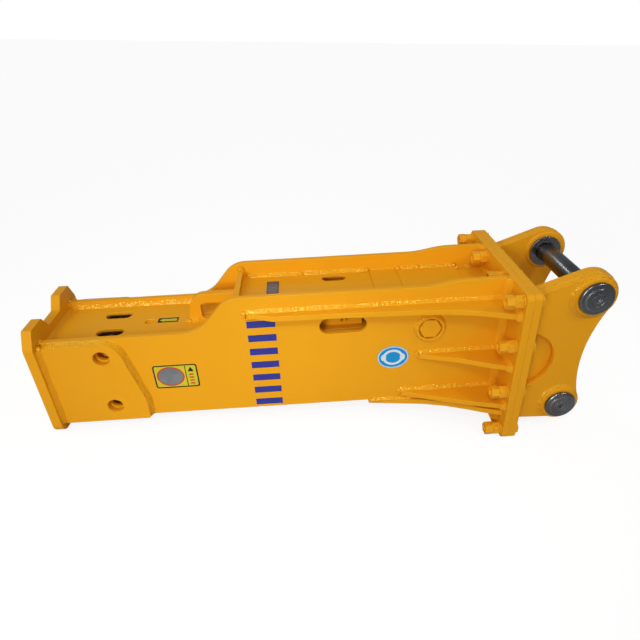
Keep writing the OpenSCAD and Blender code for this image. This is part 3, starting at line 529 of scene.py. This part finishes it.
def weld_walls(s):
    """Along the recessed walls, in lengths with a stop at each end, and beside the service cover."""
    inward, y = into(s), s * INNER
    lengths = ((STEP_X + STEP_T, 898), (906, COVER[0] - 8), (COVER[1] + 6, 1345), (1352, END_WALL_X - 8))
    stops = (899, COVER[0] - 8, COVER[1] + 7, 1346, END_WALL_X - 6)
    welds.straight((2, y, LOWER_WALL), (STEP_X, y, LOWER_WALL), inward, UP, 9, 16, pitch=9.0, wander=0.12)
    for x0, x1 in lengths:
        welds.straight((x0, y, UPPER_WALL), (x1, y, UPPER_WALL), inward, UP, 11, 12, pitch=8.0, wander=0.12)
    for x in stops:
        welds.blob(P(x, s * (INNER - 4), UPPER_WALL + 3), 11.0, (1.0, 0.9, 0.8))
    z = UPPER_WALL + 1
    welds.straight((COVER[0] + 4, y, z), (COVER[1] - 4, y, z), inward, UP, 5)
    welds.straight((END_WALL_X, y, END_WALL), (SHELL_LEN, y, END_WALL), inward, UP, 9)


def weld_step(s):
    """Up both faces of the step wall and over its top."""
    inward, y, rear = into(s), s * INNER, STEP_X + STEP_T
    fillets.straight((STEP_X, y, LOWER_WALL), (STEP_X, y, STEP_TOP), MINUS_X, inward, 14, **SMOOTH)
    fillets.straight((rear, y, UPPER_WALL), (rear, y, STEP_TOP), X, inward, 15, **SMOOTH)
    welds.straight((STEP_X - 4, y, STEP_TOP), (rear + 4, y, STEP_TOP), inward, UP, 13)
    welds.blob(P(STEP_X + 8, s * (INNER - 5), STEP_TOP + 3), 11.0, (1.2, 1.0, 0.9))


def weld_rib(s, z, x0, reach):
    """Along the side plate above and below a rib, round its front end, and round its end at the flange."""
    out, y, top = out_of(s), s * HALF_W, z + RIB_T
    tip, edge, end = s * (reach + 2), s * reach, SHELL_LEN
    welds.straight((x0 - 2, y, top), (end, y, top), out, UP, 8, 13, pitch=9.0, wander=0.14)
    fillets.straight((x0 - 2, y, z), (end, y, z), out, DOWN, 10, **SMOOTH)
    fillets.straight((x0 + 2, y, z), (x0 + 2, y, top), MINUS_X, out, 11, **SMOOTH)
    welds.blob(P(x0 - 3, y + s * 2, top), 9.0, (1.1, 0.8, 1.0))
    fillets.straight((end, y, top), (end, tip, top), MINUS_X, UP, 12, **SMOOTH)
    fillets.straight((end, y, z), (end, tip, z), MINUS_X, DOWN, 12, **SMOOTH)
    fillets.straight((end, edge, z - 5), (end, edge, top + 5), MINUS_X, out, 20, 10, **SMOOTH)


def between_ribs():
    """The z of both ends of each gap between the side ribs, from the lower edge up."""
    ends = [0.0]
    for z, *_ in reversed(RIBS):
        ends += [z, z + RIB_T]
    ends.append(END_TOP - 2)
    return list(zip(ends[::2], ends[1::2]))


def weld_flange(s):
    """From the side plates to the flange, outside and inside."""
    out, inward = out_of(s), into(s)
    y, inner, end = s * HALF_W, s * INNER, SHELL_LEN
    for z0, z1 in between_ribs():
        fillets.straight((end, y, z0), (end, y, z1), MINUS_X, out, 20, 18, **SMOOTH)
    fillets.straight((end, inner, END_WALL), (end, inner, END_TOP - 2), MINUS_X, inward, 15, **SMOOTH)
    fillets.straight((end, s * (INNER - 2), END_TOP), (end, s * (HALF_W + 2), END_TOP), MINUS_X, DOWN, 13, 12,
                     **SMOOTH)


def weld_base(s):
    """Along the base plate, and round its webs."""
    y, edge, end = s * HALF_W, s * BASE_HALF, SHELL_LEN
    welds.straight((BASE_X, y, 0), (end, y, 0), out_of(s), UP, 9)
    fillets.straight((end, y, 0), (end, edge, 0), MINUS_X, UP, 11, **SMOOTH)
    fillets.straight((end, 0, -BASE_T), (end, edge, -BASE_T), MINUS_X, DOWN, 10, **SMOOTH)
    for gusset in GUSSET_Y:
        for at, way in ((gusset, -1), (gusset + GUSSET_T, 1)):
            face, off = s * at, (0, s * way, 0)
            fillets.straight((end, face, GUSSET_LOW), (end, face, -BASE_T), MINUS_X, off, 7, **SMOOTH)
            fillets.straight((GUSSET_X, face, -BASE_T), (end, face, -BASE_T), off, DOWN, 7, **SMOOTH)


def weld_plug(s):
    """Round the ring of the side plug."""
    welds.flat(circle(PLUG, PLUG_RING), s * HALF_W, s, (9.0, 12.0), closed=True,
               ripple=0.04, pitch=9.0, wander=0.1)


def weld_ear(s):
    """From the ear and its doubler to the bracket flange."""
    out, inward = out_of(s), into(s)
    plate_y, outer, inner = s * EAR_OUT, s * DOUBLER_OUT, s * EAR_IN
    for z0, z1 in ((EAR_BOTTOM, MOON[0]), (MOON[1], EAR_TOP)):
        welds.straight((EAR_X, outer, z0), (EAR_X, outer, z1), X, out, 13, 14, pitch=9.0)
    fillets.straight((EAR_X, plate_y, MOON[0] + 2), (EAR_X, plate_y, MOON[1] - 2), X, out, 8, **SMOOTH)
    welds.straight((EAR_X, inner, EAR_BOTTOM), (EAR_X, inner, EAR_TOP), X, inward, 12, pitch=9.0)
    rise = (math.cos(math.radians(EAR_SLOPE)), 0, math.sin(math.radians(EAR_SLOPE)))
    welds.straight((EAR_X, inner, EAR_TOP), (EAR_X, outer, EAR_TOP), rise, UP, 12)
    welds.straight((EAR_X, inner, EAR_BOTTOM), (EAR_X, outer, EAR_BOTTOM), X, DOWN, 11)
    welds.flat(ear_outline(4.0), plate_y, s, (3.6, 9.0), pitch=8.0, ripple=0.06, wander=0.12)


def weld_boss(s, x, z, boss, small, way):
    """Round both steps of a boss ring on the ear, and round the bush's collar inside the ear."""
    heavy = Vector((math.cos(math.radians(way)), 0, math.sin(math.radians(way))))

    def legs(a):
        """Widest on the side towards the ear's middle."""
        return 3.0 + 7.0 * max(a.dot(heavy), 0.0) ** 0.5, 6.5

    welds.flat(circle((x, z), boss), s * DOUBLER_OUT, s, legs, closed=True, ripple=0.03, pitch=9.0)
    fillets.flat(circle((x, z), small), s * (DOUBLER_OUT + BOSS_STEP), s, (4.5, 5.5), closed=True, **SMOOTH)
    fillets.flat(circle((x, z), COLLAR), s * EAR_IN, -s, (6.0, 5.0), closed=True, **SMOOTH)


def weld_lug(s):
    """The foot of the lifting lug, kept low under its eye, and its joint with the step wall."""
    out, y = out_of(s), s * LUG_HALF
    spread, high, low = 15.0, 13.0, 5.0
    foot = [(LUG_X, spread), (EYE[0] - 14, high), (EYE[0] - 2, low), (EYE[1] + 2, low), (EYE[1] + 14, high),
            (STEP_X, high)]
    welds.run([(P(x, y, LOWER_WALL), Vector(out), Vector(UP), spread, leg) for x, leg in foot], wander=0.05)
    welds.straight((STEP_X, y, LOWER_WALL), (STEP_X, y, LUG_TOP), MINUS_X, out, 10)
    welds.blob(P(LUG_X - 1, s * 16, LOWER_WALL + 2), 15.0, (1.0, 1.0, 0.7))


def weld_across(x, z, half, a, legs, pool, **kw):
    """A weld across the housing, half mm to each side of the middle plane."""
    pool.straight((x, -half, z), (x, half, z), a, UP, *legs, **kw)


for s, _ in SIDES:
    weld_cheek(s)
    weld_walls(s)
    weld_step(s)
    for rib in RIBS:
        weld_rib(s, *rib)
    weld_flange(s)
    weld_base(s)
    weld_plug(s)
    weld_ear(s)
    for x, z, _, boss, small, way in PINS:
        weld_boss(s, x, z, boss, small, way)
    weld_lug(s)
weld_across(0, LOWER_WALL, INNER, X, (9,), fillets, **SMOOTH)
weld_across(STEP_X, LOWER_WALL, INNER, MINUS_X, (11,), fillets, **SMOOTH)
weld_across(STEP_X + STEP_T, UPPER_WALL, INNER, X, (9,), fillets, **SMOOTH)
weld_across(SHELL_LEN, END_WALL, INNER, MINUS_X, (14,), welds)
weld_across(LUG_X, LOWER_WALL, 24, MINUS_X, (20, 16), welds)
weld_across(STEP_X, LUG_TOP, LUG_HALF, MINUS_X, (9,), welds)
welds.build("welds", WELD_PAINT)
fillets.build("fillets", PAINT)


# ------------------------------------------------------------------ flat pieces

def side_plate(name, outline, y, thick, mat, facing):
    """A flat print on a side plate, from its outline of (x, z) pairs, standing out thick mm from y."""
    n = len(outline)
    verts = [P(x, y, z) for x, z in outline] + [P(x, y + facing * thick, z) for x, z in outline]
    faces = [tuple(range(n)), tuple(reversed(range(n, 2 * n)))]
    faces += [(k, n + k, n + (k + 1) % n, (k + 1) % n) for k in range(n)]
    add_mesh(name, verts, faces, mat)


def side_frame(name, outer, inner, y, thick, mat, facing):
    """A print between two outlines with the same number of points."""
    n = len(outer)
    verts = [P(x, y + facing * t, z) for t in (0.0, thick) for pts in (outer, inner) for x, z in pts]
    faces = []
    for k in range(n):
        j = (k + 1) % n
        faces += [(2 * n + k, 2 * n + j, 3 * n + j, 3 * n + k), (k, j, 2 * n + j, 2 * n + k),
                  (n + j, n + k, 3 * n + k, 3 * n + j)]
    add_mesh(name, verts, faces, mat)


def top_plate(name, outline, z, thick, mat):
    """A flat plate on a recessed wall, from its outline of (x, y) pairs."""
    n = len(outline)
    verts = [P(x, y, z + t) for t in (0.0, thick) for x, y in outline]
    faces = [tuple(reversed(range(n))), tuple(range(n, 2 * n))]
    faces += [(k, (k + 1) % n, n + (k + 1) % n, n + k) for k in range(n)]
    add_mesh(name, verts, faces, mat)


def box(x0, low, x1, high):
    """The four corners of a rectangle."""
    return [(x0, low), (x1, low), (x1, high), (x0, high)]


def rounded_rect(x0, z0, x1, z1, r):
    """(x, z) pairs of a rectangle with round corners."""
    count = 6
    centres = ((x1 - r, z1 - r, 0), (x0 + r, z1 - r, 90), (x0 + r, z0 + r, 180), (x1 - r, z0 + r, 270))
    out = []
    for cx, cz, start in centres:
        for k in range(count + 1):
            a = math.radians(start + 90 * k / count)
            out.append((cx + r * math.cos(a), cz + r * math.sin(a)))
    return out


def oval(centre, rx, rz, count=60):
    """(x, z) pairs of an oval."""
    x, z = centre
    angles = [2 * math.pi * k / count for k in range(count)]
    return [(x + rx * math.cos(a), z + rz * math.sin(a)) for a in angles]


# ------------------------------------------------------------------ labels

# How far a label stands out from its plate, and a print from its label
LABEL_T, PRINT_T = 0.8, 0.3
# The yellow label's border as x0, z0, x1, z1, the centre of its disc, and the centre of the blue oval label
WARNING, WARNING_DISC, SIGN = (355, 116, 512, 216), (414, 166), (1213, 190)


def warning_print(s, side):
    """Plain shapes on the yellow label: a border, a disc in a ring, a divider, a mark and four bars."""
    y = s * (HALF_W + LABEL_T)
    x0, z0, x1, z1 = WARNING
    side_frame(f"warning_border_{side}", rounded_rect(x0, z0, x1, z1, 10),
               rounded_rect(x0 + 5, z0 + 5, x1 - 5, z1 - 5, 7), y, PRINT_T, BLACK, s)
    side_plate(f"warning_disc_{side}", oval(WARNING_DISC, 45, 38), y, PRINT_T, GREY, s)
    side_frame(f"warning_ring_{side}", oval(WARNING_DISC, 49, 42), oval(WARNING_DISC, 44, 37), y, 0.4, RED, s)
    side_plate(f"warning_edge_{side}", box(468, z0 + 6, 471, z1 - 6), y, PRINT_T, BLACK, s)
    side_plate(f"warning_mark_{side}", [(477, 184), (499, 184), (488, 204)], y, PRINT_T, BLACK, s)
    for k in range(4):
        z = 168 - 13 * k
        side_plate(f"warning_line{k}_{side}", box(480, z, 496, z + 6), y, PRINT_T, RED, s)


def sign_print(s, side):
    """Plain shapes on the blue oval label: a rim, a ring and two pads beside it."""
    y = s * (HALF_W + LABEL_T)
    side_frame(f"sign_ring_{side}", oval(SIGN, 55.5, 46.5), oval(SIGN, 52, 43), y, PRINT_T, WHITE, s)
    side_frame(f"sign_arc_{side}", oval(SIGN, 37, 33), oval(SIGN, 28, 24), y, PRINT_T, WHITE, s)
    for k, x in enumerate((SIGN[0] - 34, SIGN[0] + 34)):
        side_plate(f"sign_pad{k}_{side}", oval((x, SIGN[1]), 9, 14, 24), y, 0.5, WHITE, s)


def arrow_print():
    """A plain arrow towards the tool end, on a dark ground."""
    ground = LOWER_WALL + LABEL_T
    outline = [(371, 0), (388, -12), (388, -8), (435, -8), (435, 8), (388, 8), (388, 12)]
    top_plate("arrow_ground", box(366, -16, 440, 16), ground, PRINT_T, BLACK)
    top_plate("arrow", outline, ground + PRINT_T, PRINT_T, YELLOW)


def plate_fields():
    """Blank fields of the nameplate."""
    for k in range(7):
        at = -12 + 12.3 * k
        top_plate(f"plate_field{k}", box(777, at, 813, at + 4.5), UPPER_WALL + 1.6, 0.2, GREY)


for s, side in SIDES:
    warning_print(s, side)
    sign_print(s, side)
arrow_print()
plate_fields()


# ------------------------------------------------------------------ painted shade and paint in the openings

SEAM_W, SEAM_GAP = 1.6, 0.2


def slot_ring(x0, x1, y, r, z):
    """A slot-shaped outline at height z, from the x of its two end centres, its y and its radius."""
    out = []
    for x, start in ((x1, -90.0), (x0, 90.0)):
        for k in range(13):
            a = math.radians(start + 15.0 * k)
            out.append(P(x + r * math.cos(a), y + r * math.sin(a), z))
    return out


def grease_tub(s, side):
    """A dark tub of painted shade in the pocket under a long slot, with a floor just above the pin that locks
    the bushing.
    """
    slot_x, slot_y, radius, skin = (181.5, 232.5), s * 60.0, 23.0, 1.5
    rim_z, floor_z = LOWER_WALL - 14.0, 284.5
    levels = ((radius, rim_z), (radius, floor_z), (radius - skin, floor_z + skin), (radius - skin, rim_z))
    outside, inside, rim = (0, 1), (2, 3), (3, 0)
    loops = [slot_ring(*slot_x, slot_y, r, z) for r, z in levels]
    n = len(loops[0])
    verts = [v for loop in loops for v in loop]
    faces = [(a * n + k, b * n + k, b * n + (k + 1) % n, a * n + (k + 1) % n)
             for a, b in (outside, inside, rim) for k in range(n)]
    faces += [tuple(range(n, 2 * n)), tuple(reversed(range(2 * n, 3 * n)))]
    # Painted shade: the pocket is lined dark brown where the slot's inside falls into shade
    add_mesh(f"pocket_grease_{side}", verts, faces, POCKET_SHADE)


def cover_seam(x0, end):
    """Paint that has run into the seam at one end of the service cover."""
    half, depth, thick = INNER - 0.5, 6.0, 4.8
    top_plate(f"cover_seam_{end}", box(x0, -half, x0 + SEAM_W, half), UPPER_WALL - depth, thick, PAINT)


for s, side in SIDES:
    grease_tub(s, side)
cover_seam(COVER[0] + SEAM_GAP, "front")
cover_seam(COVER[1] - SEAM_GAP - SEAM_W, "rear")


# ------------------------------------------------------------------ floor

def floor_finish():
    """A grey floor that the camera sees paler, so that it meets the background without a line."""
    mat, nt, bsdf = tree("floor")
    bsdf.inputs["Base Color"].default_value = (0.55, 0.55, 0.55, 1)
    bsdf.inputs["Roughness"].default_value = 0.9
    bsdf.inputs["Specular IOR Level"].default_value = 0.05
    seen = node(nt, "ShaderNodeBsdfDiffuse")
    seen.inputs["Color"].default_value = (0.95, 0.95, 0.95, 1)
    glow = node(nt, "ShaderNodeEmission")
    glow.inputs["Color"].default_value = (1, 1, 1, 1)
    glow.inputs["Strength"].default_value = 1.10
    pale = node(nt, "ShaderNodeMixShader")
    pale.inputs[0].default_value = 0.78
    nt.links.new(seen.outputs[0], pale.inputs[1])
    nt.links.new(glow.outputs[0], pale.inputs[2])
    pick = node(nt, "ShaderNodeMixShader")
    nt.links.new(node(nt, "ShaderNodeLightPath").outputs["Is Camera Ray"], pick.inputs[0])
    nt.links.new(bsdf.outputs[0], pick.inputs[1])
    nt.links.new(pale.outputs[0], pick.inputs[2])
    nt.links.new(pick.outputs[0], nt.nodes["Material Output"].inputs["Surface"])
    return mat


# The hammer lies on the lowest edges of its flanges and of the tool end plate, so the floor slopes to meet
# both. It stays a little below them.
FLANGE_LOW, END_PLATE_LOW = P(SHELL_LEN, 0, -110), P(-34, 0, -28)
FLOOR_GAP = Vector((0, 0, 0.6 * MM))
bpy.ops.mesh.primitive_plane_add(size=60)
floor = bpy.context.object
floor.name = "floor"
slope = math.atan2(END_PLATE_LOW.z - FLANGE_LOW.z, FLANGE_LOW.x - END_PLATE_LOW.x)
floor.rotation_euler = (0, slope, 0)
floor.location = FLANGE_LOW - FLOOR_GAP
floor.data.materials.append(floor_finish())


# ------------------------------------------------------------------ light and camera

def studio_world():
    """A backdrop that is pure white to the camera.

    The studio behind it is brighter beyond the tool end, and dim in reflections, so that the gloss comes from
    the lamps.
    """
    world = bpy.data.worlds.new("studio")
    world.use_nodes = True
    nt = world.node_tree
    background = nt.nodes["Background"]
    background.inputs["Color"].default_value = (1.0, 1.0, 1.0, 1)
    tool_end, bracket_end, in_gloss = 0.59, 0.37, 0.45
    way = node(nt, "ShaderNodeSeparateXYZ")
    nt.links.new(node(nt, "ShaderNodeTexCoord").outputs["Generated"], way.inputs[0])
    rays = node(nt, "ShaderNodeLightPath").outputs
    studio = product(nt, ramp(nt, way.outputs["X"], -0.8, 0.8, tool_end, bracket_end),
                     ramp(nt, rays["Is Glossy Ray"], 0.0, 1.0, 1.0, in_gloss))
    backdrop = node(nt, "ShaderNodeMapRange")
    nt.links.new(rays["Is Camera Ray"], backdrop.inputs["Value"])
    nt.links.new(studio, backdrop.inputs["To Min"])
    nt.links.new(backdrop.outputs["Result"], background.inputs["Strength"])
    return world


def area(name, at, target, size, power, spread):
    """A square lamp size metres wide, aimed at a target, with its power in watts and spread in degrees."""
    data = bpy.data.lights.new(name, "AREA")
    data.energy, data.size, data.spread = power, size, math.radians(spread)
    obj = bpy.data.objects.new(name, data)
    obj.location = Vector(at)
    obj.rotation_euler = (Vector(target) - Vector(at)).to_track_quat("-Z", "Y").to_euler()
    scene.collection.objects.link(obj)


def photo_camera():
    """The camera that was fitted to the photo, with its angles in radians."""
    data = bpy.data.cameras.new("camera")
    data.sensor_width, data.lens = 36.0, 28.73
    data.clip_start, data.clip_end = 0.05, 100
    pitch, yaw, roll = 0.5423, -0.0294, -0.0451
    level = Matrix(((1, 0, 0), (0, 0, -1), (0, 1, 0)))
    turn = Matrix.Rotation(roll, 3, "Z") @ Matrix.Rotation(pitch, 3, "X") @ Matrix.Rotation(yaw, 3, "Y")
    rows = turn @ level
    facing = Matrix((rows[0], -rows[1], -rows[2])).transposed().to_4x4()
    camera = bpy.data.objects.new("camera", data)
    camera.matrix_world = Matrix.Translation(P(913.0, -1640.5, 1262.6)) @ facing
    scene.collection.objects.link(camera)
    return camera


scene = bpy.context.scene
scene.world = studio_world()
scene.view_settings.view_transform = "Standard"
scene.view_settings.look = "None"
area("key", (-1.2, -3.1, 1.5), (-0.22, 0, 0.3), 0.9, 8.1, 72.0)
area("glint", (-0.2, -2.0, 2.6), (-0.05, 0, 0.35), 0.35, 3.0, 70.0)
area("rim", (2.2, -1.4, 2.4), (0.8, 0, 0.35), 0.3, 0.85, 50.0)
area("back", (-0.3, 2.4, 2.1), (0.8, 0, 0.45), 0.35, 0.45, 50.0)
area("top", (-1.87, 0.1, 2.62), (-0.7, -0.05, 0.4), 0.25, 0.2, 50.0)
scene.camera = photo_camera()
